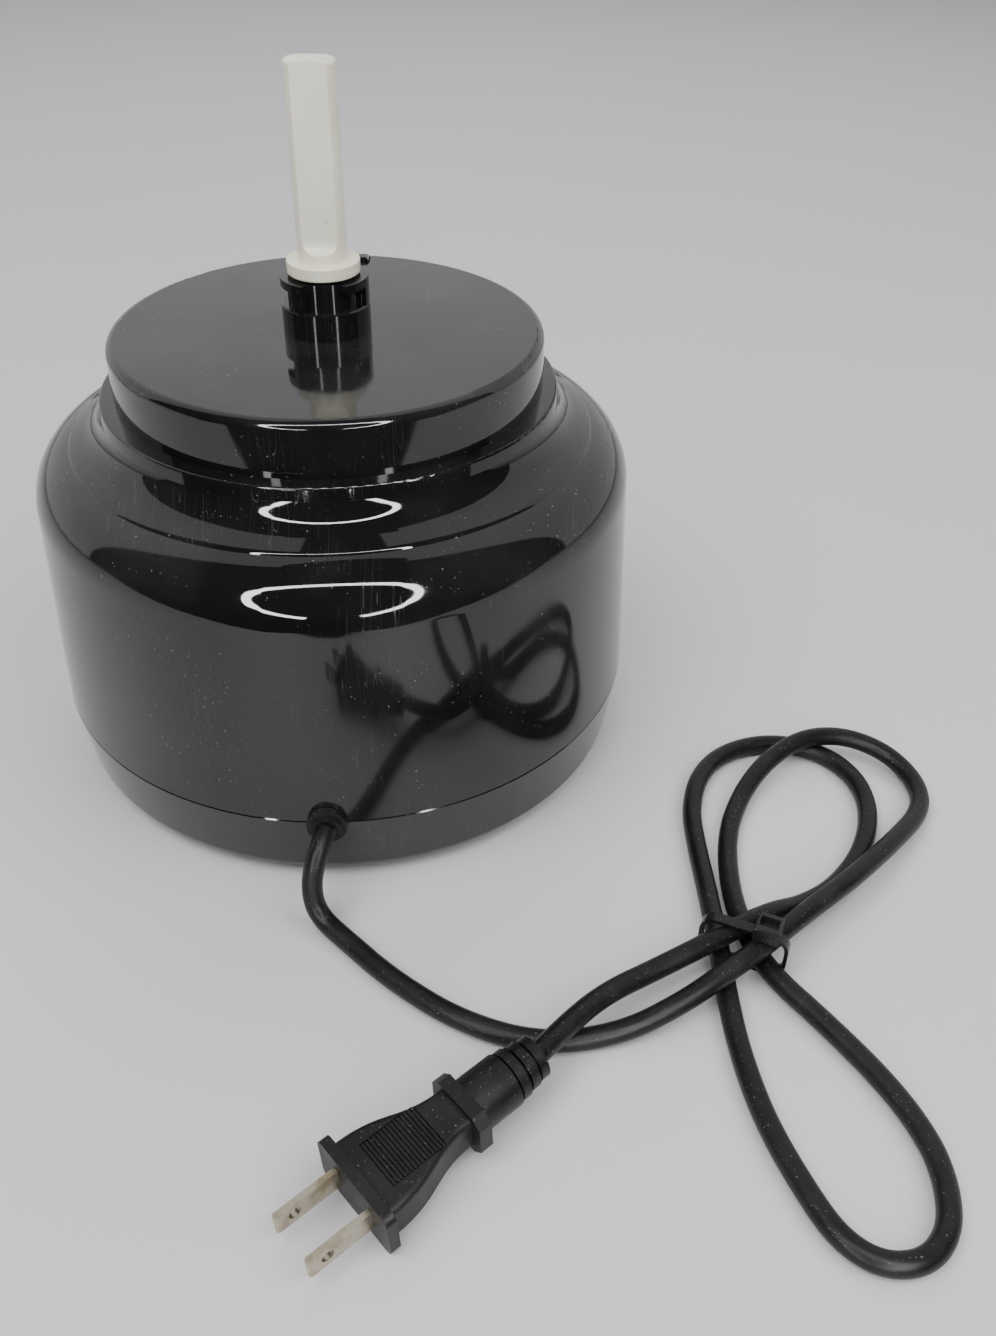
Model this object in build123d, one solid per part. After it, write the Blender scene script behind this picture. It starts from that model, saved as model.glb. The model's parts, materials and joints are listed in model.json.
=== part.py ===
from build123d import *
import os
from math import cos, pi, radians, sin, sqrt, tan

os.makedirs("parts", exist_ok=True)

# The frame: origin on the body's axis where the feet stand, +Z up, +Y the front with
# the selector knob, -Y the rear with the supply cord. All sizes are millimetres.

# Body, a solid of revolution
WALL = 2.6
FLOOR_Z = 2.5
PAN_TURN_R, PAN_TURN_Z = 87.2, 7.0
SEAM_R, SEAM_Z = 89.7, 24.7
SHOULDER_R, SHOULDER_Z, SHOULDER_BEND = 87.4, 87.0, 15.8
DECK_R, DECK_Z, DECK_EDGE = 61.2, 131.2, 2.3
LEDGE_R, LEDGE_Z, LEDGE_SLOPE = 64.7, 115.4, 4
LIP_DROP, COVE_SLOPE, COVE_BEND, RAMP_SLOPE, RAMP = 3.0, 80, 9.5, 24, 4.2
RIDGE_BEND, RIDGE_SLOPE = 1.6, 72
SEAM_CHAMFER, TONGUE_R = 0.3, 85.0

# Bowl lock hub and the drive on the body's axis
HUB_R, HUB_RING_Z, HUB_TUBE_R, HUB_TOP_Z = 12.3, 138.9, 10.0, 146.3
LUG_R, LUG_RIB, LUG_SPAN, LUG_ARM_Z, LUG_FIRST = 12.2, 26, 66, 144.0, -179.7
SPIGOT_R, HOLDER_Z = 8.0, 123.6
STEM_FLANGE_R, STEM_FLANGE_Z, STEM_FLANGE_T = 10.05, 147.0, 3.7
STEM_R, STEM_FLATS, STEM_TOP_Z, STEM_FLAT_Z = 6.7, 9.45, 200.5, 156.5
SHAFT_R, SHAFT_TOP_Z, SHAFT_FLAT = 4.0, 166.0, 3.2
BUSH_R, RUNNING_FIT = 8.0, 0.05

# Motor and belt drive
MOTOR_X = 44.0
PLATE_Z, PLATE_T = 34.0, 2.2
MOTOR_SHAFT_R = 3.0
CORE_Z0, CORE_Z1, CORE_R, AIR_GAP = 56.0, 84.0, 15.5, 0.6
STATOR_X, STATOR_Y = 56.0, 52.0
COIL_IN, COIL_OUT, COIL_PROUD = 17.0, 21.5, 3.2
BRACKET_Z0, BRACKET_T = 38.4, 5.0
TOP_BRACKET_Z, TOP_BRACKET_T = 96.8, 3.2
COMMUTATOR_R = 9.5
DRIVEN_R, DRIVE_R, BELT_Z0, BELT_Z1 = 30.0, 8.0, 17.0, 29.0
BELT_GAP, BELT_T = 0.3, 2.2
MOTOR_BOLTS = [(23, 8), (-23, -8)]
MOTOR_MOUNTS = [(19, 17), (19, -17), (-19, 17), (-19, -17)]

# Selector knob in its round recess in the front wall
KNOB_Z, KNOB_R, KNOB_FACE_Y = 66.0, 18.5, 88.3
RECESS_R, RECESS_Y = 21.0, 78.6
NECK_R, SPINDLE_R = 5.0, 3.0

# Bowl interlock at the front of the deck
PADDLE_HALF, PADDLE_Y0, PADDLE_Y1, PADDLE_PROUD = 8.5, 52.4, 57.2, 1.3
ROD_Y, ROD_R, SHELF_Z = 54.0, 2.5, 106.0

# Supply cord and plug
CORD_D = 5.8
GLAND_R, GLAND_FACE_Y = 5.6, -92.6
PLUG_FACE, PLUG_HEADING, PLUG_PITCH = (13.0, -190.2, 7.6), 39.0, 3.4
PLUG_LENGTH = 54.0
BLADE_SPACING, BLADE_W, BLADE_T, BLADE_L = 12.7, 6.35, 1.5, 16.6

BASE_SCREWS = [(78 * cos(radians(a)), 78 * sin(radians(a))) for a in (60, 120, 240, 300)]
FEET = [(68 * cos(radians(a)), 68 * sin(radians(a))) for a in (45, 135, 225, 315)]
PLATE_POSTS = [(54, 40), (54, -40), (-54, 40), (-54, -40)]
BASE_Z = (Align.CENTER, Align.CENTER, Align.MIN)


def rod(radius, z0, z1, at=(0, 0)):
    """An upright cylinder from z0 to z1."""
    return Pos(at[0], at[1], z0) * Cylinder(radius, z1 - z0, align=BASE_Z)


def tube(outer, inner, z0, z1, at=(0, 0)):
    """An upright tube from z0 to z1."""
    return rod(outer, z0, z1, at) - rod(inner, z0 - 1, z1 + 1, at)


def block(x0, x1, y0, y1, z0, z1):
    """A box given by its six faces."""
    middle = Pos((x0 + x1) / 2, (y0 + y1) / 2, (z0 + z1) / 2)
    return middle * Box(x1 - x0, y1 - y0, z1 - z0)


def front_rod(radius, y0, y1, x=0.0, z=KNOB_Z):
    """A cylinder along +Y from y0 to y1."""
    return Pos(x, y0, z) * Rot(-90, 0, 0) * Cylinder(radius, y1 - y0, align=BASE_Z)


def sector(inner, outer, z0, z1, start, span):
    """Part of a ring, from the angle start through span degrees."""
    half = Plane.XZ * Pos((inner + outer) / 2, (z0 + z1) / 2) * Rectangle(outer - inner, z1 - z0)
    return Rot(0, 0, start) * revolve(half, Axis.Z, revolution_arc=span)


def screws(places, shank_r, shank, head_r, head, bore=None):
    """Equal upright screws; shank and head are (z0, z1) pairs."""
    out = Part()
    for at in places:
        out += rod(shank_r, *shank, at) + rod(head_r, *head, at)
        if bore:
            out -= rod(bore[0], bore[1], bore[2], at)
    return out


def bend(start, slope_a, slope_b, radius):
    """An arc of the body's outline from a slope to another, and its end.

    Slopes are degrees below the horizontal, walking outwards; it is hollow where they fall.
    """
    side = radius if slope_b > slope_a else -radius
    middle = (slope_a + slope_b) / 2
    centre = (start[0] - side * sin(radians(slope_a)), start[1] - side * cos(radians(slope_a)))
    through, end = [
        (centre[0] + side * sin(radians(s)), centre[1] + side * cos(radians(s)))
        for s in (middle, slope_b)
    ]
    return ThreePointArc(start, through, end), end


def downhill(start, slope, run):
    """The end of a straight run of the outline at a slope."""
    return (start[0] + run * cos(radians(slope)), start[1] - run * sin(radians(slope)))


def shoulder_z(radius, bend_radius):
    """Height of the round shoulder of the given bend at a radius."""
    return SHOULDER_Z + sqrt(bend_radius**2 - (radius - SHOULDER_R + SHOULDER_BEND) ** 2)


def outer_edges():
    """The casing's outline from the deck's middle down to the seam."""
    edge_in = (DECK_R - DECK_EDGE, DECK_Z)
    edge_arc, edge_end = bend(edge_in, 0, 90, DECK_EDGE)
    foot = (DECK_R, LEDGE_Z + (LEDGE_R - DECK_R) * tan(radians(LEDGE_SLOPE)))
    lip_arc, lip_end = bend((LEDGE_R, LEDGE_Z), LEDGE_SLOPE, COVE_SLOPE, 0.7)
    cove_start = downhill(lip_end, COVE_SLOPE, LIP_DROP)
    cove_arc, cove_end = bend(cove_start, COVE_SLOPE, RAMP_SLOPE, COVE_BEND)
    ramp_end = downhill(cove_end, RAMP_SLOPE, RAMP)
    ridge_arc, ridge_end = bend(ramp_end, RAMP_SLOPE, RIDGE_SLOPE, RIDGE_BEND)
    crease_r = ridge_end[0] + 0.1
    crease = (crease_r, shoulder_z(crease_r, SHOULDER_BEND))
    mid_r = (crease_r + SHOULDER_R) / 2 + 2.0
    shoulder = ThreePointArc(
        crease, (mid_r, shoulder_z(mid_r, SHOULDER_BEND)), (SHOULDER_R, SHOULDER_Z)
    )
    return [
        Line((0, DECK_Z), edge_in), edge_arc, Line(edge_end, foot), Line(foot, (LEDGE_R, LEDGE_Z)),
        lip_arc, Line(lip_end, cove_start), cove_arc, Line(cove_end, ramp_end), ridge_arc,
        Line(ridge_end, crease), shoulder,
        Line((SHOULDER_R, SHOULDER_Z), (SEAM_R, SEAM_Z + SEAM_CHAMFER)),
        Line((SEAM_R, SEAM_Z + SEAM_CHAMFER), (SEAM_R - SEAM_CHAMFER, SEAM_Z)),
    ]


def lathe(edges):
    """Turn a closed outline about the body's axis."""
    return revolve(Plane.XZ * make_face(edges), Axis.Z)


def gland_cut():
    """The round hole on the seam that the cord gland sits in."""
    return front_rod(GLAND_R - 1.1, -99, -79, 0, SEAM_Z)


def housing_shell():
    """One moulding: wall, shoulder, ledge and the deck that the bowl sits on."""
    solid_edges = outer_edges() + [
        Line((SEAM_R - SEAM_CHAMFER, SEAM_Z), (0, SEAM_Z)), Line((0, SEAM_Z), (0, DECK_Z)),
    ]
    envelope = lathe(solid_edges)
    inner_bend = SHOULDER_BEND - WALL
    joint_r, mid_r = 77.5, 82.0
    hollow = lathe([
        Line((0, SEAM_Z - 1), (SEAM_R - WALL, SEAM_Z - 1)),
        Line((SEAM_R - WALL, SEAM_Z - 1), (SHOULDER_R - WALL, SHOULDER_Z)),
        ThreePointArc(
            (SHOULDER_R - WALL, SHOULDER_Z), (mid_r, shoulder_z(mid_r, inner_bend)),
            (joint_r, shoulder_z(joint_r, inner_bend)),
        ),
        Polyline(
            (joint_r, shoulder_z(joint_r, inner_bend)), (74.5, 100.5), (70.3, 102.4),
            (65.7, 106.1), (63.4, 111.0), (62.9, LEDGE_Z - WALL), (DECK_R - WALL, LEDGE_Z - WALL),
            (DECK_R - WALL, DECK_Z - WALL), (0, DECK_Z - WALL), (0, SEAM_Z - 1),
        ),
    ])
    shell = envelope - hollow
    shell += envelope & front_rod(RECESS_R + WALL, RECESS_Y - WALL, 99)
    shell += rod(26, HOLDER_Z, DECK_Z - WALL)
    for x, y in BASE_SCREWS:
        angle = Rot(0, 0, Vector(x, y).get_signed_angle(Vector(1, 0)) * -1)
        shell += rod(4.6, 31, 60, (x, y)) + angle * block(78, 87, -1.5, 1.5, 31, 60)
    for side in (-8, 8):
        shell += rod(3.2, 120, DECK_Z - WALL + 0.1, (side, 42))
        shell -= rod(1.2, 118, 127, (side, 42))
    for at in BASE_SCREWS:
        shell -= rod(1.5, 30, 52, at)
    for at in holder_screw_places():
        shell -= rod(1.5, HOLDER_Z - 1, 129.4, at)
    shell -= front_rod(RECESS_R, RECESS_Y, 99) + front_rod(NECK_R, 70, 90)
    shell -= rod(SPIGOT_R, HOLDER_Z - 1, DECK_Z + 1)
    gap = 0.3
    shell -= block(
        -PADDLE_HALF - gap, PADDLE_HALF + gap, PADDLE_Y0 - gap, PADDLE_Y1 + gap, 125, 135
    )
    return shell - gland_cut()


def base_pan():
    """The dish that closes the casing from below, with vents, posts and foot seats."""
    inner_r = SEAM_R - WALL
    arc, turn = bend((PAN_TURN_R - 4.5, FLOOR_Z), 0, -90, 4.5)
    pan = lathe([
        Line((0, FLOOR_Z), (PAN_TURN_R - 4.5, FLOOR_Z)), arc,
        Line(turn, (SEAM_R, SEAM_Z - SEAM_CHAMFER)),
        Line((SEAM_R, SEAM_Z - SEAM_CHAMFER), (SEAM_R - SEAM_CHAMFER, SEAM_Z)),
        Polyline(
            (SEAM_R - SEAM_CHAMFER, SEAM_Z), (inner_r - 0.3, SEAM_Z), (inner_r - 0.3, SEAM_Z + 3),
            (TONGUE_R, SEAM_Z + 3), (TONGUE_R, SEAM_Z - 2), (inner_r - 0.5, SEAM_Z - 4.7),
            (PAN_TURN_R - WALL, PAN_TURN_Z), (PAN_TURN_R - 4.5, FLOOR_Z + WALL),
            (0, FLOOR_Z + WALL), (0, FLOOR_Z),
        ),
    ])
    for at in BASE_SCREWS:
        pan += rod(4.6, FLOOR_Z + 1, 31, at)
        pan -= rod(1.9, 0, 32, at) + rod(3.9, 0, 9, at)
    for at in PLATE_POSTS:
        pan += rod(4.5, FLOOR_Z + 1, PLATE_Z, at)
        pan -= rod(1.5, 18, PLATE_Z + 1, at)
    for at in FEET:
        pan -= rod(9.2, 0, FLOOR_Z + 0.8, at) + rod(3.0, 0, 9, at)
    for i in range(-3, 4):
        pan -= Pos(MOTOR_X + 6 * i, 0, FLOOR_Z) * extrude(SlotOverall(26, 3, rotation=90), 9, both=True)
        pan -= Pos(-MOTOR_X + 6 * i, 0, FLOOR_Z) * extrude(SlotOverall(26, 3, rotation=90), 9, both=True)
    return pan - gland_cut()


def rubber_feet():
    """Four push-in feet with a stem and a bead that holds above the floor."""
    out = Part()
    for at in FEET:
        foot = rod(9.0, 0, FLOOR_Z + 0.8, at)
        foot = chamfer(foot.edges().group_by(Axis.Z)[0], 0.8)
        out += foot + rod(3.0, 3, FLOOR_Z + WALL, at) + rod(4.2, FLOOR_Z + WALL, 7.2, at)
    return out


def holder_screw_places():
    return [(19 * cos(radians(a)), 19 * sin(radians(a))) for a in (30, 150, 270)]


def bowl_lock_hub():
    """The bayonet hub that the bowl's centre tube turns onto, with three L-shaped lugs."""
    hub = chamfer(rod(HUB_R, DECK_Z, HUB_RING_Z).edges().group_by(Axis.Z)[-1], 0.4)
    hub += rod(SPIGOT_R, HOLDER_Z, DECK_Z + 1) + rod(HUB_TUBE_R, HUB_RING_Z - 1, HUB_TOP_Z)
    for turn in (0, 120, 240):
        first = LUG_FIRST + turn
        hub += sector(HUB_TUBE_R - 0.6, LUG_R, LUG_ARM_Z, HUB_TOP_Z, first, LUG_SPAN)
        rib = first + LUG_SPAN - LUG_RIB
        hub += sector(HUB_TUBE_R - 0.6, LUG_R, HUB_RING_Z - 0.5, HUB_TOP_Z, rib, LUG_RIB)
    return hub - rod(5.0, HOLDER_Z - 1, HUB_TOP_Z + 1) - rod(7.0, HOLDER_Z - 1, 128)


def bearing_holder():
    """The flanged cup under the deck that carries the upper bush."""
    cup = rod(24, HOLDER_Z - 3, HOLDER_Z) + rod(12, 109.6, HOLDER_Z - 2)
    cup -= rod(BUSH_R, 112.5, HOLDER_Z + 1) + rod(5.2, 108, 113)
    for at in holder_screw_places():
        cup -= rod(1.9, 118, HOLDER_Z + 1, at)
    return cup


def lower_bearing_housing():
    """The flanged cup on the chassis plate that carries the lower bush."""
    top = PLATE_Z + PLATE_T
    return rod(17, top, top + 2) + rod(12, top, 46) - rod(BUSH_R, 38, 47) - rod(5.2, 34, 39)


def output_shaft():
    """The shaft that drives the stem: D-shaped above the hub, threaded at its foot."""
    shaft = rod(SHAFT_R, 15, SHAFT_TOP_Z) + rod(3.0, 9.5, 15)
    shaft -= block(SHAFT_FLAT, 9, -9, 9, 141, SHAFT_TOP_Z + 1)
    return chamfer(shaft.edges().group_by(Axis.Z)[-1], 0.5)


def drive_stem():
    """The tall double-D stem that lifts off the shaft and turns the blades."""
    top = STEM_FLANGE_Z + STEM_FLANGE_T
    flange = rod(STEM_FLANGE_R, STEM_FLANGE_Z, top)
    flange = fillet(flange.edges().filter_by(GeomType.CIRCLE), 0.5)
    bar = rod(STEM_R, top - 1, STEM_TOP_Z)
    bar = fillet(bar.edges().group_by(Axis.Z)[-1], 0.9)
    half = STEM_FLATS / 2
    for side in (-1, 1):
        inner, outer = sorted((side * half, side * 12))
        cut = block(-12, 12, inner, outer, STEM_FLAT_Z, STEM_TOP_Z + 1)
        runout = Pos(0, side * (half + 4.0), STEM_FLAT_Z) * Rot(0, 90, 0) * Cylinder(4.0, 30)
        bar -= cut + runout
    bar -= tube(STEM_R + 2, STEM_R - 0.15, STEM_TOP_Z - 1.7, STEM_TOP_Z - 1.4)
    bar -= Pos(0, 0, STEM_TOP_Z + 1.5) * Sphere(2.0)
    bore = rod(SHAFT_R + 0.07, STEM_FLANGE_Z - 1, SHAFT_TOP_Z + 0.3)
    bore -= block(SHAFT_FLAT + 0.07, 9, -9, 9, STEM_FLANGE_Z - 1, SHAFT_TOP_Z + 1)
    return flange + bar - bore


def ribbed_wheel(radius, bore, at, ribs=4):
    """A belt wheel's rim with square ribs and a flange at each end of the belt's track."""
    wheel = rod(radius, BELT_Z0 - 1.5, BELT_Z1 + 1.5, at)
    pitch = (BELT_Z1 - BELT_Z0) / ribs
    for i in range(ribs):
        z = BELT_Z0 + pitch * (i + 0.3)
        wheel -= tube(radius + 1, radius - 0.8, z, z + pitch * 0.4, at)
    for z in (BELT_Z0 - 1.5, BELT_Z1 + 0.3):
        wheel += rod(radius + 2.5, z, z + 1.2, at)
    return wheel - rod(bore, 0, 60, at)


def driven_pulley():
    """The large ribbed wheel on the output shaft, dished, with six lightening holes."""
    wheel = ribbed_wheel(DRIVEN_R, SHAFT_R, (0, 0)) + tube(9, SHAFT_R, 15, 33)
    wheel -= tube(DRIVEN_R - 3, 9, 14, 20.5) + tube(DRIVEN_R - 3, 9, 23.5, 32)
    for i in range(6):
        wheel -= rod(4.5, 10, 40, (18 * cos(pi * i / 3), 18 * sin(pi * i / 3)))
    return wheel


def hex_nut(across, bore, z0, z1, at=(0, 0)):
    blank = Pos(at[0], at[1], z0) * extrude(RegularPolygon(across / 2, 6, major_radius=False), z1 - z0)
    return blank - rod(bore, z0 - 1, z1 + 1, at)


def drive_belt():
    """The belt round both wheels, a little off their rims, as one static loop."""
    def loop(grow):
        big, small = DRIVEN_R + BELT_GAP + grow, DRIVE_R + BELT_GAP + grow
        lean = (big - small) / MOTOR_X
        across = sqrt(1 - lean**2)
        corners = [
            (big * lean, big * across), (MOTOR_X + small * lean, small * across),
            (MOTOR_X + small * lean, -small * across), (big * lean, -big * across),
        ]
        side = make_face(Polyline(*corners, close=True))
        return side + Circle(big) + Pos(MOTOR_X, 0) * Circle(small)
    band = loop(BELT_T) - loop(0)
    return Pos(0, 0, BELT_Z0) * extrude(band, BELT_Z1 - BELT_Z0)


def chassis_plate():
    """The pressed plate that carries the motor and the lower bearing."""
    plate = block(-62, 76, -47, 47, PLATE_Z, PLATE_Z + PLATE_T) & rod(82, 30, 40)
    plate -= rod(5.2, 30, 40) + rod(7.5, 30, 40, (MOTOR_X, 0))
    for at in PLATE_POSTS:
        plate -= rod(1.9, 30, 40, at)
    for x, y in MOTOR_MOUNTS:
        plate -= rod(2.2, 30, 40, (MOTOR_X + x, y))
    for x in (-52, -22):
        plate -= Pos(x, 0, 30) * extrude(SlotOverall(40, 7, rotation=90), 20)
    return plate


def motor_places(pairs):
    return [(MOTOR_X + x, y) for x, y in pairs]


def stator_stack():
    """The laminated square stack with its bore and winding slots."""
    stack = Pos(MOTOR_X, 0, CORE_Z0) * extrude(
        RectangleRounded(STATOR_X, STATOR_Y, 6), CORE_Z1 - CORE_Z0
    )
    stack -= rod(CORE_R + AIR_GAP, 50, 90, (MOTOR_X, 0))
    for middle in (90, 270):
        for side in (-54, 46):
            stack -= Pos(MOTOR_X, 0, 0) * sector(COIL_IN, COIL_OUT, 50, 90, middle + side, 8)
    for at in motor_places(MOTOR_BOLTS):
        stack -= rod(2.0, 50, 90, at)
    return stack


def field_coils():
    """Two windings, each a loop through two slots and round the stack's ends."""
    out = Part()
    for middle in (90, 270):
        low, high = CORE_Z0 - COIL_PROUD, CORE_Z1 + COIL_PROUD
        coil = sector(COIL_IN, COIL_OUT, low, high, middle - 54, 108)
        coil -= sector(COIL_IN - 1, COIL_OUT + 1, CORE_Z0, CORE_Z1, middle - 46, 92)
        out += Pos(MOTOR_X, 0, 0) * coil
    return out


def armature_core():
    """The rotor's slotted iron core."""
    core = tube(CORE_R, MOTOR_SHAFT_R, CORE_Z0, CORE_Z1)
    for i in range(12):
        core -= Rot(0, 0, 30 * i) * block(CORE_R - 5, CORE_R + 1, -1.0, 1.0, 50, 90)
    return Pos(MOTOR_X, 0, 0) * core


def armature_windings():
    """The wound coil heads at both ends of the rotor's core."""
    low = fillet(tube(13, MOTOR_SHAFT_R, 53.2, CORE_Z0).edges().group_by(Axis.Z)[0], 0.9)
    high = fillet(tube(13, MOTOR_SHAFT_R, CORE_Z1, 89).edges().group_by(Axis.Z)[-1], 0.9)
    return Pos(MOTOR_X, 0, 0) * (low + high)


def commutator():
    """The copper commutator with its bar gaps."""
    ring = tube(COMMUTATOR_R, MOTOR_SHAFT_R, 89.2, 96.3)
    for i in range(24):
        ring -= Rot(0, 0, 15 * i) * block(COMMUTATOR_R - 0.8, COMMUTATOR_R + 1, -0.2, 0.2, 90.4, 97)
    return Pos(MOTOR_X, 0, 0) * ring


def motor_fan():
    """The cooling fan under the rotor: a disc with nine straight blades."""
    fan = tube(20, MOTOR_SHAFT_R, 47.2, 48.4) + tube(6, MOTOR_SHAFT_R, 47.2, 52.2)
    for i in range(9):
        fan += Rot(0, 0, 40 * i) * block(5.5, 19.5, -0.7, 0.7, 48, 51.6)
    return Pos(MOTOR_X, 0, 0) * fan


def motor_lower_bracket():
    """The motor's lower end plate with the seat of its bush."""
    top = BRACKET_Z0 + BRACKET_T
    plate = extrude(RectangleRounded(STATOR_X, 46, 6), BRACKET_T)
    bracket = Pos(MOTOR_X, 0, BRACKET_Z0) * plate + rod(8.5, BRACKET_Z0, top + 3, (MOTOR_X, 0))
    bracket -= rod(6.0, 30, 60, (MOTOR_X, 0))
    for at in motor_places(MOTOR_MOUNTS) + motor_places(MOTOR_BOLTS):
        bracket -= rod(2.0, 30, 60, at)
    for at in motor_places(MOTOR_BOLTS):
        bracket += rod(4.5, top - 1, CORE_Z0, at) - rod(2.0, 30, 60, at)
    return bracket - rod(20.6, 46.9, 53, (MOTOR_X, 0))


def motor_upper_bracket():
    """The motor's upper end plate with two ears on posts from the stack."""
    top = TOP_BRACKET_Z + TOP_BRACKET_T
    bracket = rod(21, TOP_BRACKET_Z, top, (MOTOR_X, 0)) + rod(8.5, TOP_BRACKET_Z, 104, (MOTOR_X, 0))
    for at in motor_places(MOTOR_BOLTS):
        bracket += rod(4.5, CORE_Z1, top, at) - rod(2.0, 80, 110, at)
    return bracket - rod(6.0, 90, 110, (MOTOR_X, 0))


def brush_frame(radial, across, z0, z1):
    """A box beside the commutator, turned to the brush axis, once on each side."""
    out = Part()
    for turn in (138, 318):
        box = block(*radial, -across / 2, across / 2, z0, z1)
        out += Pos(MOTOR_X, 0, 0) * Rot(0, 0, turn) * box
    return out


def brush_holders():
    return brush_frame((10.8, 25), 9, 89.4, TOP_BRACKET_Z) - brush_frame((9, 24), 5.2, 90.6, 95.8)


def brush_springs():
    """A short coil behind each brush."""
    out = Part()
    for turn in (138, 318):
        path = Helix(1.2, 3.8, 1.7)
        coil = sweep(Plane(path @ 0, z_dir=path % 0) * Circle(0.3), path, is_frenet=True)
        out += Pos(MOTOR_X, 0, 93.2) * Rot(0, 0, turn) * Pos(19.6, 0, 0) * Rot(0, 90, 0) * coil
    return out


def interlock_paddle():
    """The bar in the deck's edge that the bowl presses, with the rod under it."""
    top = DECK_Z + PADDLE_PROUD
    bar = block(-PADDLE_HALF, PADDLE_HALF, PADDLE_Y0, PADDLE_Y1, 121, top)
    bar = chamfer(bar.edges().group_by(Axis.Z)[-1], 0.8)
    return bar + rod(ROD_R, 98.4, 122, (0, ROD_Y))


def interlock_spring():
    """The coil that lifts the paddle, between the bracket's shelf and the bar."""
    path = Helix(2.8, 13.5, 3.3)
    coil = sweep(Plane(path @ 0, z_dir=path % 0) * Circle(0.35), path, is_frenet=True)
    return Pos(0, ROD_Y, SHELF_Z + 0.6) * coil


def interlock_bracket():
    """The angle under the deck that carries the switch and guides the rod."""
    bracket = block(-14, 14, 45.5, 47.5, 84, 120) + block(-14, 14, 38.5, 47.5, 118, 120)
    bracket += block(-14, 14, 45.5, 59.5, SHELF_Z - 2, SHELF_Z)
    bracket -= rod(ROD_R + 0.3, 100, 110, (0, ROD_Y))
    for side in (-8, 8):
        bracket -= rod(1.6, 110, 125, (side, 42))
    return bracket


def interlock_switch():
    """The snap switch that the rod reaches into, with two tabs."""
    switch = block(-13.9, 13.9, 47.5, 57.8, 84, 99.5) - rod(3.0, 96, 100, (0, ROD_Y))
    for side in (-8, 8):
        switch += block(side - 3.1, side + 3.1, 52, 52.8, 78, 84)
    return switch


def control_knob():
    """The selector knob: a cup with a rounded rim and a pointer bar across its face."""
    knob = front_rod(KNOB_R, 79.2, 86.3)
    knob = fillet(knob.edges().group_by(Axis.Y)[-1], 1.6)
    knob -= front_rod(16, 79, 84)
    knob += front_rod(5.5, 81.2, 85)
    knob += block(-3.2, 3.2, 85, KNOB_FACE_Y, KNOB_Z - 16, KNOB_Z + 16)
    return knob - front_rod(SPINDLE_R, 70, 84.5)


def selector_switch():
    """The rotary switch behind the recess, its threaded neck and its tabs."""
    body = block(-14, 14, 62.6, RECESS_Y - WALL, KNOB_Z - 14, KNOB_Z + 12)
    body = chamfer(body.edges().filter_by(Axis.Y), 3) + front_rod(NECK_R, 74, 80.4)
    for side in (-8, 8):
        body += block(side - 3.1, side + 3.1, 56.6, 62.7, KNOB_Z - 6.4, KNOB_Z - 5.6)
    return body - front_rod(SPINDLE_R + RUNNING_FIT, 65, 82)


def selector_nut():
    """The nut that clamps the switch's neck in the recess."""
    blank = extrude(RegularPolygon(7, 6, major_radius=False), 1.8)
    return Pos(0, RECESS_Y, KNOB_Z) * Rot(-90, 0, 0) * blank - front_rod(NECK_R, 70, 90)


def cord_gland():
    """The snap-in bush on the seam: two flanges on a neck, and a short ribbed nose."""
    gland = front_rod(GLAND_R - 1.1, -92, 2 - TONGUE_R, 0, SEAM_Z)
    gland += front_rod(GLAND_R, -91.6, -89.75, 0, SEAM_Z)
    gland += front_rod(GLAND_R, 0.3 - TONGUE_R, 2.5 - TONGUE_R, 0, SEAM_Z)
    gland += front_rod(GLAND_R - 1.6, GLAND_FACE_Y, -91, 0, SEAM_Z)
    return gland


CORD_ROUTE = [
    (0, -92.6, 24.7), (-2, -99, 22.5), (-4.3, -102.8, 13.5), (-2.5, -106, 5.2), (6, -113.5, 3),
    (19, -127, 3), (37, -140.5, 3), (57, -147.5, 3), (77, -145, 3.4), (93, -138.5, 6.8),
    (105, -131.5, 9.8), (118, -121.8, 10.2), (132, -110, 10), (147, -98, 9.4), (163, -82, 7),
    (177.8, -65, 3.6), (180.2, -51.5, 3.2), (173.4, -39.9, 5.6), (160.5, -35, 8.6),
    (146.5, -36.4, 9.3), (133.5, -44.5, 6.6), (123.5, -57, 3.6), (116.5, -73, 3),
    (113.6, -92, 3.2), (113.8, -109, 4.05), (118, -126, 4.05), (130, -142, 3.1),
    (141.5, -161, 3), (147, -176.5, 3), (147.3, -188, 3), (144.6, -198, 3), (137.5, -204.9, 3),
    (127.5, -205.3, 3), (119.8, -199.2, 3), (114.8, -188, 3), (109, -170, 3), (106.4, -150, 3),
    (106.2, -132, 3.1), (106.6, -114, 4.1), (106.7, -96, 3.5), (106.5, -79, 3), (107, -62, 3),
    (112.8, -45.5, 3), (123.5, -35.3, 3), (138, -31.5, 3), (152, -35.8, 3), (161, -47, 3),
    (162.5, -62.5, 3), (156, -80.5, 3), (144.5, -95, 3), (132.5, -103.4, 4.3),
    (121.5, -110.1, 9.4), (110, -117, 10.3), (98, -123.6, 9.6), (86, -129.5, 8.4),
    (75, -136, 9.2), (65.5, -144.6, 10.6),
]
TIE, TIE_HEADING = (112.4, -119.4), 66


def plug_frame():
    """The plug's own frame: the middle of its face, +X back along the cord."""
    return Pos(*PLUG_FACE) * Rot(0, 0, PLUG_HEADING) * Rot(0, -PLUG_PITCH, 0)


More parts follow.
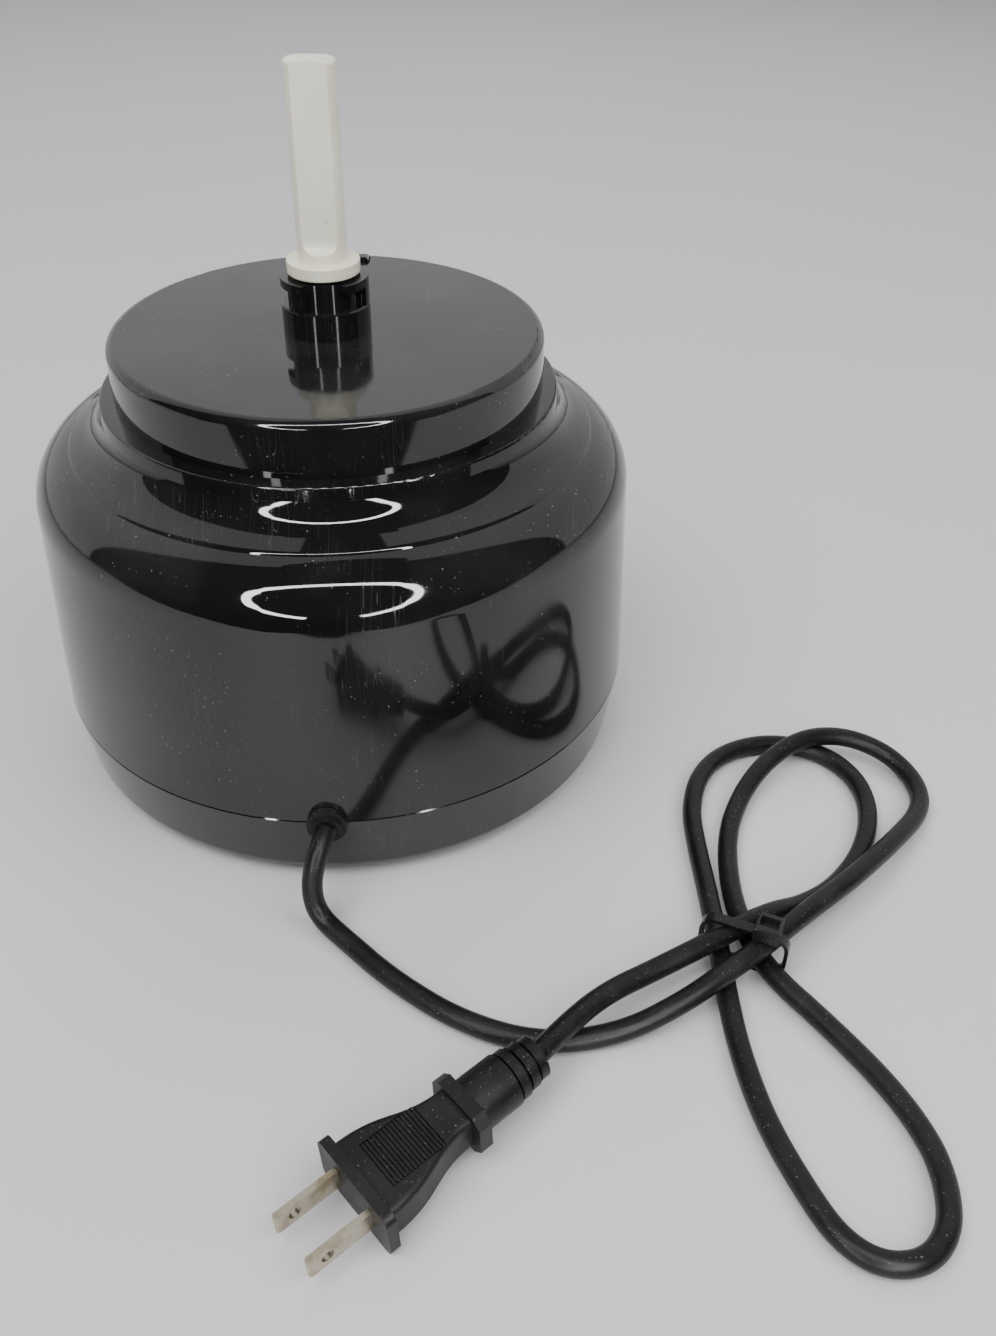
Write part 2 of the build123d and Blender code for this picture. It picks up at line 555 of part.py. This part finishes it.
def power_cord():
    """The round cord from the gland's nose to the plug, along straight runs and arcs."""
    end = plug_frame() * Pos(PLUG_LENGTH, 0, 0)
    points = [Vector(*p) for p in CORD_ROUTE] + [end.position]
    radii = []
    for before, here, after in zip(points, points[1:], points[2:]):
        turn = (here - before).get_angle(after - here)
        shorter = min((here - before).length, (after - here).length)
        radii.append(0.45 * shorter / tan(radians(turn / 2)))
    path = FilletPolyline(*points, radius=radii)
    section = Plane(path @ 0, z_dir=path % 0) * Circle(CORD_D / 2)
    cord = sweep(section, path)
    print("cord radii in diameters", [round(r / CORD_D, 1) for r in radii])
    print("cord length", round(path.length, 1), "volume ratio",
          round(cord.volume / (pi * (CORD_D / 2) ** 2 * path.length), 4))
    return cord


def plug_body():
    """The moulded two-pin plug: face flange, waisted grip, collar and ribbed relief."""
    grip_outline = [
        (2.4, 11.0), (8, 10.8), (14, 9.4), (20, 7.2), (25, 6.1), (30, 6.0),
    ]
    upper = Spline([Vector(*p) for p in grip_outline])
    lower = mirror(upper, Plane.XZ)
    grip = make_face([
        upper, lower, Line(upper @ 0, lower @ 0), Line(upper @ 1, lower @ 1),
    ])
    body = Pos(0, 0, -5.4) * extrude(grip, 10.8)
    body = fillet(body.edges().filter_by(Axis.Z, reverse=True).filter_by(GeomType.BSPLINE), 1.6)
    flange = Pos(1.35, 0, 0) * Box(2.7, 26.3, 14.4)
    body += fillet(flange.edges().filter_by(Axis.X), 2.2)
    collar = Pos(31.0, 0, 0) * Box(3.6, 17.5, 13.6)
    body += chamfer(collar.edges().filter_by(Axis.X), 2.6)
    relief = Pos(32, 0, 0) * Rot(0, 90, 0) * Cylinder(6.9, 12, align=BASE_Z)
    core = Pos(43, 0, 0) * Rot(0, 90, 0) * Cylinder(4.4, PLUG_LENGTH - 43, align=BASE_Z)
    body += relief + core
    for i in range(3):
        ring = Pos(44.7 + 3.3 * i, 0, 0) * Rot(0, 90, 0) * Cylinder(6.5 - 0.5 * i, 2.4, align=BASE_Z)
        body += ring
    panel = Pos(14.2, 0, 5.4) * Box(15.0, 13.0, 1.2)
    body -= panel
    for i in range(15):
        body += Pos(7.3 + 0.98 * i, 0, 5.0) * Box(0.5, 12.6, 0.8)
    return plug_frame() * body


def plug_blades():
    """Two flat parallel blades with a hole near each tip."""
    blades = Part()
    for side in (-1, 1):
        blade = Pos(-BLADE_L / 2, side * BLADE_SPACING / 2, 0) * Box(BLADE_L, BLADE_T, BLADE_W)
        blade = chamfer(blade.edges().filter_by(Axis.Z).group_by(Axis.X)[0], 0.45)
        hole = Pos(-11.7, side * BLADE_SPACING / 2, 0) * Rot(90, 0, 0) * Cylinder(1.6, 9)
        blades += blade - hole
    return plug_frame() * blades


def cable_tie():
    """The strap round the bundle where its strands cross, and the strap's square head."""
    thick, wide, high, half_width = 1.0, 22.0, 12.4, 1.5
    outer = RectangleRounded(wide + 2 * thick, high + 2 * thick, 4.5)
    band = Plane.YZ * (outer - RectangleRounded(wide, high, 3.5))
    strap = Pos(0, 0, high / 2 + thick) * extrude(band, half_width, both=True)
    head = block(-3.4, 3.4, -9.2, -2.2, high + thick + 0.2, high + thick + 4.8)
    head = chamfer(head.edges().group_by(Axis.Z)[-1], 0.5) - block(-1.7, 1.7, -8.2, -3.2, 16, 20)
    return Pos(TIE[0], TIE[1], 0) * Rot(0, 0, TIE_HEADING) * (strap + head)


def loose_wire(points, radius):
    """A thin insulated lead along a smooth path."""
    path = Spline([Vector(*p) for p in points])
    return sweep(Plane(path @ 0, z_dir=path % 0) * Circle(radius), path)


def internal_leads():
    """The sheath's end inside the gland and four leads from it to the switches and motor."""
    sheath = front_rod(CORD_D / 2, 2.5 - TONGUE_R, -72, 0, SEAM_Z)
    brush_out = (MOTOR_X + 25 * cos(radians(318)), 25 * sin(radians(318)), 94)
    brush_in = (MOTOR_X + 25 * cos(radians(138)), 25 * sin(radians(138)), 94)
    routes = [
        [(-1.4, -72, 24.7), (-6, -62, 38), (-34, -44, 58), (-48, 4, 62), (-26, 44, 58), (-8, 56.6, 60)],
        [(1.4, -72, 24.7), (6, -62, 38), (26, -50, 66), (54, -36, 90), brush_out],
        [(8, 56.6, 60), (9, 50, 64), (8, 52.4, 78)],
        [(-8, 52.4, 78), (-7, 46, 72), (2, 36, 78), (13, 27, 91), brush_in],
    ]
    return sheath + [loose_wire(route, 1.1) for route in routes]


def brushes():
    """The two carbon brushes on the commutator."""
    return brush_frame((COMMUTATOR_R + 0.3, 19), 5.0, 90.7, 95.7)


def motor_bolts():
    """The two long bolts that hold the motor's end plates to the stack."""
    places = motor_places(MOTOR_BOLTS)
    top = TOP_BRACKET_Z + TOP_BRACKET_T
    return screws(places, 1.9, (BRACKET_Z0, top), 3.4, (BRACKET_Z0 - 1.9, BRACKET_Z0))


def motor_mounts():
    """The rubber rings between the motor and the plate."""
    rings = [tube(5.0, 2.0, PLATE_Z + PLATE_T, BRACKET_Z0, at) for at in motor_places(MOTOR_MOUNTS)]
    return Part() + rings


def capacitor():
    """The interference capacitor beside the lower bearing."""
    top = PLATE_Z + PLATE_T
    body = block(-46, -34, -13, 13, top, top + 18)
    return fillet(body.edges().filter_by(Axis.Z), 1.5)


def simple_nodes():
    """The plain turned pieces and the screws."""
    plate_top = PLATE_Z + PLATE_T
    bracket_top = TOP_BRACKET_Z
    motor = (MOTOR_X, 0)
    holder_floor = HOLDER_Z - 3
    return {
        "base_screws": screws(BASE_SCREWS, 1.5, (9, 50), 3.4, (6.4, 9)),
        "holder_screws": screws(
            holder_screw_places(), 1.5, (holder_floor, 129.0), 2.8, (holder_floor - 2.2, holder_floor)
        ),
        "chassis_screws": screws(PLATE_POSTS, 1.5, (20, plate_top), 3.2, (plate_top, plate_top + 2.4)),
        "motor_mount_screws": screws(
            motor_places(MOTOR_MOUNTS), 1.95, (PLATE_Z, 43), 3.6, (PLATE_Z - 2.2, PLATE_Z)
        ),
        "bracket_screws": screws([(-8, 42), (8, 42)], 1.2, (118, 126), 2.4, (116.2, 118)),
        "upper_bush": tube(BUSH_R, SHAFT_R + RUNNING_FIT, 112.5, 122),
        "lower_bush": tube(BUSH_R, SHAFT_R + RUNNING_FIT, 38, 46),
        "shaft_seal": tube(7.0, SHAFT_R + RUNNING_FIT, 124, 128),
        "shaft_clip": tube(6.4, SHAFT_R, 46.4, 47.4),
        "pulley_nut": hex_nut(10, 3.0, 10, 15),
        "motor_shaft": rod(MOTOR_SHAFT_R, 12, 103.4, motor),
        "motor_lower_bush": tube(6.0, MOTOR_SHAFT_R + RUNNING_FIT, BRACKET_Z0, 46.4, motor),
        "motor_upper_bush": tube(6.0, MOTOR_SHAFT_R + RUNNING_FIT, bracket_top, 104, motor),
        "drive_pulley": ribbed_wheel(DRIVE_R, MOTOR_SHAFT_R, motor),
        "knob_spindle": front_rod(SPINDLE_R, 66, 84.5),
    }


NODES = {f.__name__: f for f in (
    housing_shell, base_pan, rubber_feet, bowl_lock_hub, bearing_holder, lower_bearing_housing,
    output_shaft, drive_stem, driven_pulley, drive_belt, chassis_plate, stator_stack, field_coils,
    armature_core, armature_windings, commutator, motor_fan, motor_lower_bracket,
    motor_upper_bracket, brush_holders, brushes, brush_springs, motor_bolts, motor_mounts,
    interlock_paddle, interlock_spring, interlock_bracket, interlock_switch, control_knob,
    selector_switch, selector_nut, capacitor, internal_leads, cord_gland, power_cord, plug_body,
    plug_blades, cable_tie,
)}

pieces = {name: make() for name, make in NODES.items()} | simple_nodes()
for name, piece in pieces.items():
    piece.label = name
    export_step(piece, f"parts/{name}.step")
    print(f"{name:24s} solids {len(piece.solids()):3d} volume {piece.volume:10.1f}")
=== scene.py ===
import json
import math

import bmesh
import bpy
from mathutils import Matrix, Vector


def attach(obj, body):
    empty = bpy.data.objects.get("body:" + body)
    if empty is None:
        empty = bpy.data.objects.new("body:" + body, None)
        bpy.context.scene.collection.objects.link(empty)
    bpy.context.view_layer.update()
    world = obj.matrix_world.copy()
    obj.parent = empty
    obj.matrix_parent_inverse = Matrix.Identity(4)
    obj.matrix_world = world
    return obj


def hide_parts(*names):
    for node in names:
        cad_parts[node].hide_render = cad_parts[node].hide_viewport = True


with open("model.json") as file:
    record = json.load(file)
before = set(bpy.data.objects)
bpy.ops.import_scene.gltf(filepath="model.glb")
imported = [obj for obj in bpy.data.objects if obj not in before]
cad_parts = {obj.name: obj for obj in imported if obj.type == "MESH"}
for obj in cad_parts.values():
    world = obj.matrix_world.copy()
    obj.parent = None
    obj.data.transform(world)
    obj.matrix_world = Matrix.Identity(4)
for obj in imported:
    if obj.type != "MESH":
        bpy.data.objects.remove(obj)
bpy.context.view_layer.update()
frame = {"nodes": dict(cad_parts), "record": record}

MM = 0.001



def link(name, data):
    """An object with the given data, in the scene."""
    obj = bpy.data.objects.new(name, data)
    bpy.context.scene.collection.objects.link(obj)
    return obj


# ---------------------------------------------------------------- camera

CAMERA_AT = Vector((37.7, -340.7, 267.5)) * MM
CAMERA_PITCH, CAMERA_HEADING, CAMERA_ROLL = 37.06, -2.0, 0.94
SENSOR_MM, LENS_MM = 36, 33.7123


def add_camera():
    data = bpy.data.cameras.new("camera")
    data.sensor_width = SENSOR_MM
    data.lens = LENS_MM
    data.clip_start, data.clip_end = 0.01, 50
    camera = link("camera", data)
    turn = Matrix.Rotation(math.radians(CAMERA_HEADING), 4, "Z")
    tilt = Matrix.Rotation(math.radians(90 - CAMERA_PITCH), 4, "X")
    roll = Matrix.Rotation(math.radians(CAMERA_ROLL), 4, "Z")
    camera.matrix_world = Matrix.Translation(CAMERA_AT) @ turn @ tilt @ roll
    bpy.context.scene.camera = camera


add_camera()

# ---------------------------------------------------------------- materials


NOISE_ROUGHNESS = 0.55


class Look:
    """A principled material and short calls for the nodes behind its sockets."""

    def __init__(self, name, base, roughness, metallic=0.0, **constants):
        self.material = bpy.data.materials.new(name)
        self.material.use_nodes = True
        self.tree = self.material.node_tree
        self.shader = self.tree.nodes["Principled BSDF"]
        self.set("Base Color", (*base, 1))
        self.set("Roughness", roughness)
        self.set("Metallic", metallic)
        for key, value in constants.items():
            self.set(key.replace("_", " "), value)
        self.coordinates = self.tree.nodes.new("ShaderNodeTexCoord").outputs["Object"]

    def set(self, socket, value):
        self.shader.inputs[socket].default_value = value

    def node(self, kind, **inputs):
        made = self.tree.nodes.new("ShaderNode" + kind)
        for key, value in inputs.items():
            self.feed(made.inputs[key.replace("_", " ")], value)
        return made

    def feed(self, socket, value):
        if isinstance(value, bpy.types.NodeSocket):
            self.tree.links.new(value, socket)
        else:
            socket.default_value = value

    def stretched(self, scale, turn=(0, 0, 0)):
        """The object's coordinates in metres, scaled along each axis."""
        mapping = self.node("Mapping", Vector=self.coordinates)
        mapping.inputs["Scale"].default_value = scale
        mapping.inputs["Rotation"].default_value = turn
        return mapping.outputs["Vector"]

    def noise(self, scale, detail=4.0, where=None):
        made = self.node(
            "TexNoise", Vector=where or self.coordinates, Scale=scale, Detail=detail,
            Roughness=NOISE_ROUGHNESS,
        )
        return made.outputs["Fac"]

    def ramp(self, value, *stops):
        """value spread over stops, each (position, level or colour)."""
        made = self.node("ValToRGB", Fac=value)
        band = made.color_ramp
        while len(band.elements) < len(stops):
            band.elements.new(0.5)
        for element, (position, colour) in zip(band.elements, stops):
            element.position = position
            if not isinstance(colour, tuple):
                colour = (colour, colour, colour)
            element.color = (*colour, 1)
        return made.outputs["Color"]

    def mix(self, amount, first, second):
        made = self.tree.nodes.new("ShaderNodeMix")
        made.data_type = "RGBA"
        for socket, value in zip((0, 6, 7), (amount, first, second)):
            if isinstance(value, tuple):
                value = (*value[:3], 1)
            self.feed(made.inputs[socket], value)
        return made.outputs[2]

    def math(self, operation, *values):
        made = self.tree.nodes.new("ShaderNodeMath")
        made.operation = operation
        for socket, value in zip(made.inputs, values):
            self.feed(socket, value)
        return made.outputs[0]

    def colour(self, value):
        self.feed(self.shader.inputs["Base Color"], value)

    def roughness(self, value):
        self.feed(self.shader.inputs["Roughness"], value)

    def bump(self, height, strength, distance):
        made = self.node("Bump", Height=height, Strength=strength, Distance=distance)
        previous = self.shader.inputs["Normal"].links
        if previous:
            self.feed(made.inputs["Normal"], previous[0].from_socket)
        self.feed(self.shader.inputs["Normal"], made.outputs["Normal"])


def scratches(look, scale, turn):
    """Sparse hairlines: thin bands of a noise that is stretched one way."""
    where = look.stretched((scale, scale * 0.03, scale * 0.06), turn)
    line = look.noise(1.0, 1.0, where)
    gate = look.ramp(look.noise(35.0, 2.0), (0.5, 0.0), (0.62, 1.0))
    return look.math("MULTIPLY", look.ramp(line, (0.497, 0.0), (0.5, 1.0), (0.503, 0.0)), gate)


def black_gloss(name, haze, dust):
    """Polished black moulding with handling haze, hairlines and specks of dust."""
    look = Look(name, (0.007, 0.007, 0.008), 0.06, IOR=1.53)
    smudge = look.ramp(look.noise(26.0, 5.0), (0.42, 0.0), (0.72, 1.0))
    hair = look.math("MAXIMUM", scratches(look, 420, (0, 0, 0.5)), scratches(look, 360, (0.4, 0.3, 2.1)))
    speck = look.ramp(look.noise(1500.0, 0.0), (0.80, 0.0), (0.84, 1.0))
    field = look.ramp(look.noise(55.0, 2.0), (0.45, 0.0), (0.6, dust))
    speck = look.math("MULTIPLY", speck, field)
    base = look.mix(smudge, (0.0065, 0.0068, 0.0075), (0.0065 + haze, 0.0068 + haze, 0.0078 + haze))
    base = look.mix(look.math("MULTIPLY", hair, 0.25), base, (0.16, 0.16, 0.16))
    look.colour(look.mix(speck, base, (0.35, 0.34, 0.33)))
    rough = look.math("MULTIPLY_ADD", smudge, 0.09, 0.035)
    rough = look.math("MULTIPLY_ADD", hair, 0.18, rough)
    look.roughness(look.math("MULTIPLY_ADD", speck, 0.5, rough))
    look.bump(look.noise(60.0, 2.0), 0.05, 0.0002)
    look.bump(hair, -0.15, 0.00002)
    return look.material


def satin_black(name, level, rough, grain, depth):
    """Black plastic, rubber or PVC with a fine grain and slightly paler rubbed places."""
    look = Look(name, (level, level, level * 1.05), rough, IOR=1.36)
    patch = look.ramp(look.noise(90.0, 4.0), (0.4, 0.0), (0.75, 1.0))
    dark, pale = level * 0.75, level * 1.7
    base = look.mix(patch, (dark, dark, dark * 1.06), (pale, pale, pale * 1.04))
    speck = look.ramp(look.noise(2100.0, 0.0), (0.78, 0.0), (0.82, 0.6))
    look.colour(look.mix(speck, base, (0.2, 0.2, 0.2)))
    look.roughness(look.math("MULTIPLY_ADD", patch, 0.14, rough - 0.05))
    look.bump(look.noise(grain, 3.0), 0.35, depth)
    return look.material


def ivory(name):
    """Unpainted off-white acetal, a little dull, with faint marks."""
    look = Look(name, (0.75, 0.73, 0.60), 0.32, IOR=1.48)
    look.set("Subsurface Weight", 0.12)
    look.set("Subsurface Radius", (0.004, 0.0035, 0.002))
    look.set("Subsurface Scale", 0.6)
    patch = look.ramp(look.noise(70.0, 5.0), (0.35, 0.0), (0.7, 1.0))
    base = look.mix(patch, (0.80, 0.78, 0.63), (0.87, 0.85, 0.71))
    streak = look.noise(1.0, 3.0, look.stretched((500, 500, 30)))
    marks = look.ramp(streak, (0.62, 0.0), (0.72, 0.35))
    base = look.mix(marks, base, (0.55, 0.52, 0.40))
    speck = look.ramp(look.noise(900.0, 0.0), (0.80, 0.0), (0.84, 0.5))
    look.colour(look.mix(speck, base, (0.25, 0.22, 0.17)))
    look.roughness(look.math("MULTIPLY_ADD", patch, 0.16, 0.27))
    look.bump(look.noise(900.0, 2.0), 0.12, 0.00004)
    return look.material


def metal(name, tint, rough, brushed=(1, 1, 1), stain=(0.3, 0.26, 0.2), stained=0.25):
    """Metal with a directional grain and patches of tarnish."""
    look = Look(name, tint, rough, metallic=1.0)
    where = look.stretched(tuple(900 * b for b in brushed))
    grain = look.noise(1.0, 3.0, where)
    patch = look.ramp(look.noise(160.0, 5.0), (0.48, 0.0), (0.66, stained))
    dark = tuple(0.82 * t for t in tint)
    look.colour(look.mix(patch, look.mix(grain, dark, tint), stain))
    even = look.math("MULTIPLY_ADD", grain, 0.15, rough - 0.07)
    look.roughness(look.math("MULTIPLY_ADD", patch, 0.3, even))
    look.bump(grain, 0.2, 0.00003)
    return look.material


def moulded(name, tint, rough=0.45):
    """Plain coloured plastic or enamel with mottling and a fine grain."""
    look = Look(name, tint, rough)
    patch = look.noise(120.0, 4.0)
    dark = tuple(0.78 * t for t in tint)
    look.colour(look.mix(patch, dark, tint))
    look.roughness(look.math("MULTIPLY_ADD", patch, 0.2, rough - 0.1))
    look.bump(look.noise(1400.0, 2.0), 0.2, 0.00003)
    return look.material


def floor_look():
    """Matt pale laminate with faint clouds."""
    look = Look("floor", (0.62, 0.61, 0.63), 0.6)
    patch = look.noise(3.0, 6.0)
    look.colour(look.mix(patch, (0.60, 0.592, 0.618), (0.655, 0.648, 0.668)))
    look.bump(look.noise(220.0, 4.0), 0.08, 0.0003)
    return look.material


LOOKS = {
    "black_casing": black_gloss("black_casing", 0.011, 0.4),
    "black_moulding": black_gloss("black_moulding", 0.004, 0.3),
    "black_rubber": satin_black("black_rubber", 0.010, 0.5, 1800.0, 0.00005),
    "cord_jacket": satin_black("cord_jacket", 0.006, 0.42, 1600.0, 0.00003),
    "tie_nylon": satin_black("tie_nylon", 0.012, 0.26, 900.0, 0.00003),
    "carbon": satin_black("carbon", 0.03, 0.6, 2500.0, 0.00004),
    "ivory_plastic": ivory("ivory_plastic"),
    "bright_steel": metal("bright_steel", (0.62, 0.62, 0.63), 0.22, (1, 1, 0.1)),
    "zinc_plate": metal("zinc_plate", (0.58, 0.57, 0.52), 0.35, stained=0.4),
    "core_steel": metal("core_steel", (0.22, 0.22, 0.24), 0.4, (0.05, 0.05, 1.4)),
    "copper_wire": metal("copper_wire", (0.68, 0.30, 0.14), 0.3, (0.2, 0.2, 1.6)),
    "sintered_bronze": metal("sintered_bronze", (0.50, 0.36, 0.19), 0.45),
    "cast_alloy": metal("cast_alloy", (0.60, 0.60, 0.61), 0.5),
    "nickel_brass": metal(
        "nickel_brass", (0.56, 0.51, 0.40), 0.3, (0.1, 0.1, 1), (0.24, 0.18, 0.10), 0.7
    ),
    "nylon_white": moulded("nylon_white", (0.74, 0.73, 0.68)),
    "phenolic_brown": moulded("phenolic_brown", (0.13, 0.065, 0.04), 0.35),
    "lead_insulation": moulded("lead_insulation", (0.66, 0.66, 0.64), 0.4),
    "capacitor_case": moulded("capacitor_case", (0.55, 0.42, 0.14), 0.3),
}


def wear_slot(obj, slot_name):
    """Give an object the finish of one of the record's material slots."""
    obj.data.materials.clear()
    obj.data.materials.append(LOOKS[slot_name])


slot_of = {s["node"]: s["material_slot"] for s in frame["record"]["subparts"]}
for name, node in frame["nodes"].items():
    wear_slot(node, slot_of[name])


# ---------------------------------------------------------------- cord

CORD_ROUTE = [
    (0, -92.6, 24.7), (-2, -99, 22.5), (-4.3, -102.8, 13.5), (-2.5, -106, 5.2), (6, -113.5, 3),
    (19, -127, 3), (37, -140.5, 3), (57, -147.5, 3), (77, -145, 3.4), (93, -138.5, 6.8),
    (105, -131.5, 9.8), (118, -121.8, 10.2), (132, -110, 10), (147, -98, 9.4), (163, -82, 7),
    (177.8, -65, 3.6), (180.2, -51.5, 3.2), (173.4, -39.9, 5.6), (160.5, -35, 8.6),
    (146.5, -36.4, 9.3), (133.5, -44.5, 6.6), (123.5, -57, 3.6), (116.5, -73, 3),
    (113.6, -92, 3.2), (113.8, -109, 4.05), (118, -126, 4.05), (130, -142, 3.1),
    (141.5, -161, 3), (147, -176.5, 3), (147.3, -188, 3), (144.6, -198, 3), (137.5, -204.9, 3),
    (127.5, -205.3, 3), (119.8, -199.2, 3), (114.8, -188, 3), (109, -170, 3), (106.4, -150, 3),
    (106.2, -132, 3.1), (106.6, -114, 4.1), (106.7, -96, 3.5), (106.5, -79, 3), (107, -62, 3),
    (112.8, -45.5, 3), (123.5, -35.3, 3), (138, -31.5, 3), (152, -35.8, 3), (161, -47, 3),
    (162.5, -62.5, 3), (156, -80.5, 3), (144.5, -95, 3), (132.5, -103.4, 4.3),
    (121.5, -110.1, 9.4), (110, -117, 10.3), (98, -123.6, 9.6), (86, -129.5, 8.4),
    (75, -136, 9.2), (65.5, -144.6, 10.6), (54.9, -156.3, 10.8),
]
CORD_DIAMETER, CORD_LENGTH = 5.8 * MM, 0.885


def add_cord():
    """The supply cord as a tube along its route."""
    curve = bpy.data.curves.new("power_cord_line", "CURVE")
    curve.dimensions = "3D"
    line = curve.splines.new("NURBS")
    line.points.add(len(CORD_ROUTE) - 1)
    for point, place in zip(line.points, CORD_ROUTE):
        point.co = (*(Vector(place) * MM), 1)
    line.order_u = 3
    line.use_endpoint_u = True
    line.resolution_u = 12
    curve.bevel_depth = CORD_DIAMETER / 2
    curve.bevel_resolution = 8
    curve.use_fill_caps = True
    cord = link("cord_jacket_run", curve)
    wear_slot(cord, "cord_jacket")
    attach(cord, "housing")
    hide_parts("power_cord")
    return cord


cord = add_cord()

# ---------------------------------------------------------------- studio


def stage_mesh(name, bm, look, **seen):
    """A mesh of the studio, with the kinds of ray that do or don't see it."""
    mesh = bpy.data.meshes.new(name)
    bm.to_mesh(mesh)
    bm.free()
    obj = link(name, mesh)
    mesh.materials.append(look)
    for rays, on in seen.items():
        setattr(obj, "visible_" + rays, on)
    return obj


def glow(name, colour, strength=1.0):
    """A plain emitter."""
    made = bpy.data.materials.new(name)
    made.use_nodes = True
    tree = made.node_tree
    tree.nodes.clear()
    out = tree.nodes.new("ShaderNodeOutputMaterial")
    emission = tree.nodes.new("ShaderNodeEmission")
    emission.inputs["Color"].default_value = (*colour, 1)
    emission.inputs["Strength"].default_value = strength
    tree.links.new(emission.outputs[0], out.inputs["Surface"])
    return made


def quad(*corners):
    bm = bmesh.new()
    bm.faces.new([bm.verts.new(Vector(c)) for c in corners])
    return bm


FLOOR_HALF, BACKDROP_RADIUS = 6.0, 5.5


def add_floor():
    """The pale table."""
    half = FLOOR_HALF
    bm = quad((-half, -half, 0), (half, -half, 0), (half, half, 0), (-half, half, 0))
    stage_mesh("floor", bm, floor_look())


def add_backdrop():
    """A far pale dome that only the camera sees, so a low view has a plain ground."""
    bm = bmesh.new()
    bmesh.ops.create_uvsphere(bm, u_segments=48, v_segments=24, radius=BACKDROP_RADIUS)
    seen = dict(glossy=False, diffuse=False, shadow=False, transmission=False)
    stage_mesh("backdrop", bm, glow("backdrop", (0.62, 0.61, 0.63)), **seen)


ROOM_RADIUS, ROOM_SIDES, ROOM_TOP = 3.0, (2, 178), 78
ROOM_COLUMNS, ROOM_ROWS = 32, 16
# The second tone is the painted shade of the dark sheet before the table's front edge.
ROOM_TONE, FRONT_SHADE_TONE = (0.92, 0.92, 0.95), (0.01, 0.01, 0.012)
TABLE_FRONT_Y, TABLE_FLAG_Z = -0.228, 0.0004


def add_pale_room():
    """The bright half of a dome behind the object: only the gloss shows it."""
    bm = bmesh.new()
    columns = []
    first, last = ROOM_SIDES
    for i in range(ROOM_COLUMNS + 1):
        around = math.radians(first + (last - first) * i / ROOM_COLUMNS)
        column = []
        for j in range(ROOM_ROWS + 1):
            up = math.radians(ROOM_TOP * j / ROOM_ROWS)
            ray = (math.cos(around) * math.cos(up), math.sin(around) * math.cos(up), math.sin(up))
            column.append(bm.verts.new(Vector(ray) * ROOM_RADIUS))
        columns.append(column)
    for a, b in zip(columns, columns[1:]):
        for j in range(ROOM_ROWS):
            bm.faces.new((a[j], b[j], b[j + 1], a[j + 1]))
    look = glow("pale_room", ROOM_TONE)
    stage_mesh("pale_room", bm, look, camera=False, shadow=False, diffuse=False)


def add_painted_front_shade():
    """Painted shade: a dark sheet over the floor before the table's front edge, standing in for the
    shade there; only the gloss shows it.
    """
    far, z = ROOM_RADIUS, TABLE_FLAG_Z
    bm = quad((-far, -far, z), (far, -far, z), (far, TABLE_FRONT_Y, z), (-far, TABLE_FRONT_Y, z))
    look = glow("painted_shade_flag", FRONT_SHADE_TONE)
    seen = dict(camera=False, shadow=False, diffuse=False, transmission=False)
    stage_mesh("painted_shade_flag", bm, look, **seen)


RING_AT, RING_LOOKS_AT = Vector((0.010, -0.375, 0.232)), Vector((0, -0.087, 0.09))
RING_INNER, RING_OUTER, RING_GAP = 0.186, 0.215, 40
RING_STEPS, RING_TONE, RING_STRENGTH = 128, (1.0, 0.99, 0.97), 38.0


def add_ring_light():
    """The round lamp about the camera: seen only in the gloss."""
    bm = bmesh.new()
    start = math.radians(-90 + RING_GAP / 2)
    span = math.radians(360 - RING_GAP)
    rims = []
    for i in range(RING_STEPS + 1):
        angle = start + span * i / RING_STEPS
        ray = Vector((math.cos(angle), math.sin(angle), 0))
        rims.append([bm.verts.new(ray * r) for r in (RING_INNER, RING_OUTER)])
    for (a, b), (c, d) in zip(rims, rims[1:]):
        bm.faces.new((a, b, d, c))
    look = glow("ring_lamp", RING_TONE, RING_STRENGTH)
    ring = stage_mesh("ring_lamp", bm, look, camera=False, diffuse=False, shadow=False)
    turn = (RING_LOOKS_AT - RING_AT).to_track_quat("Z", "Y")
    ring.matrix_world = Matrix.Translation(RING_AT) @ turn.to_matrix().to_4x4()


def add_area(name, at, looks_at, size, watts):
    """A soft round lamp that the gloss doesn't show."""
    data = bpy.data.lights.new(name, "AREA")
    data.shape = "DISK"
    data.size = size
    data.energy = watts
    lamp = link(name, data)
    turn = (Vector(looks_at) - Vector(at)).to_track_quat("-Z", "Y")
    lamp.matrix_world = Matrix.Translation(at) @ turn.to_matrix().to_4x4()
    lamp.visible_glossy = False
    lamp.visible_camera = False


def add_world():
    """A faint even fill."""
    world = bpy.data.worlds.new("studio")
    bpy.context.scene.world = world
    world.use_nodes = True
    background = world.node_tree.nodes["Background"]
    background.inputs["Color"].default_value = (0.5, 0.5, 0.53, 1)
    background.inputs["Strength"].default_value = 0.05


add_floor()
add_backdrop()
add_pale_room()
add_painted_front_shade()
add_ring_light()
add_world()
add_area("key_soft", (-0.5, -0.5, 1.3), (0, 0, 0), 1.2, 19)
add_area("fill_soft", (0.9, -0.5, 1.2), (0.05, -0.1, 0), 1.4, 16)
add_area("front_soft", (0.1, -1.1, 0.55), (0, 0, 0.15), 0.8, 4.5)
add_area("back_soft", (0.0, 1.0, 1.3), (0, 0, 0.05), 1.4, 11)
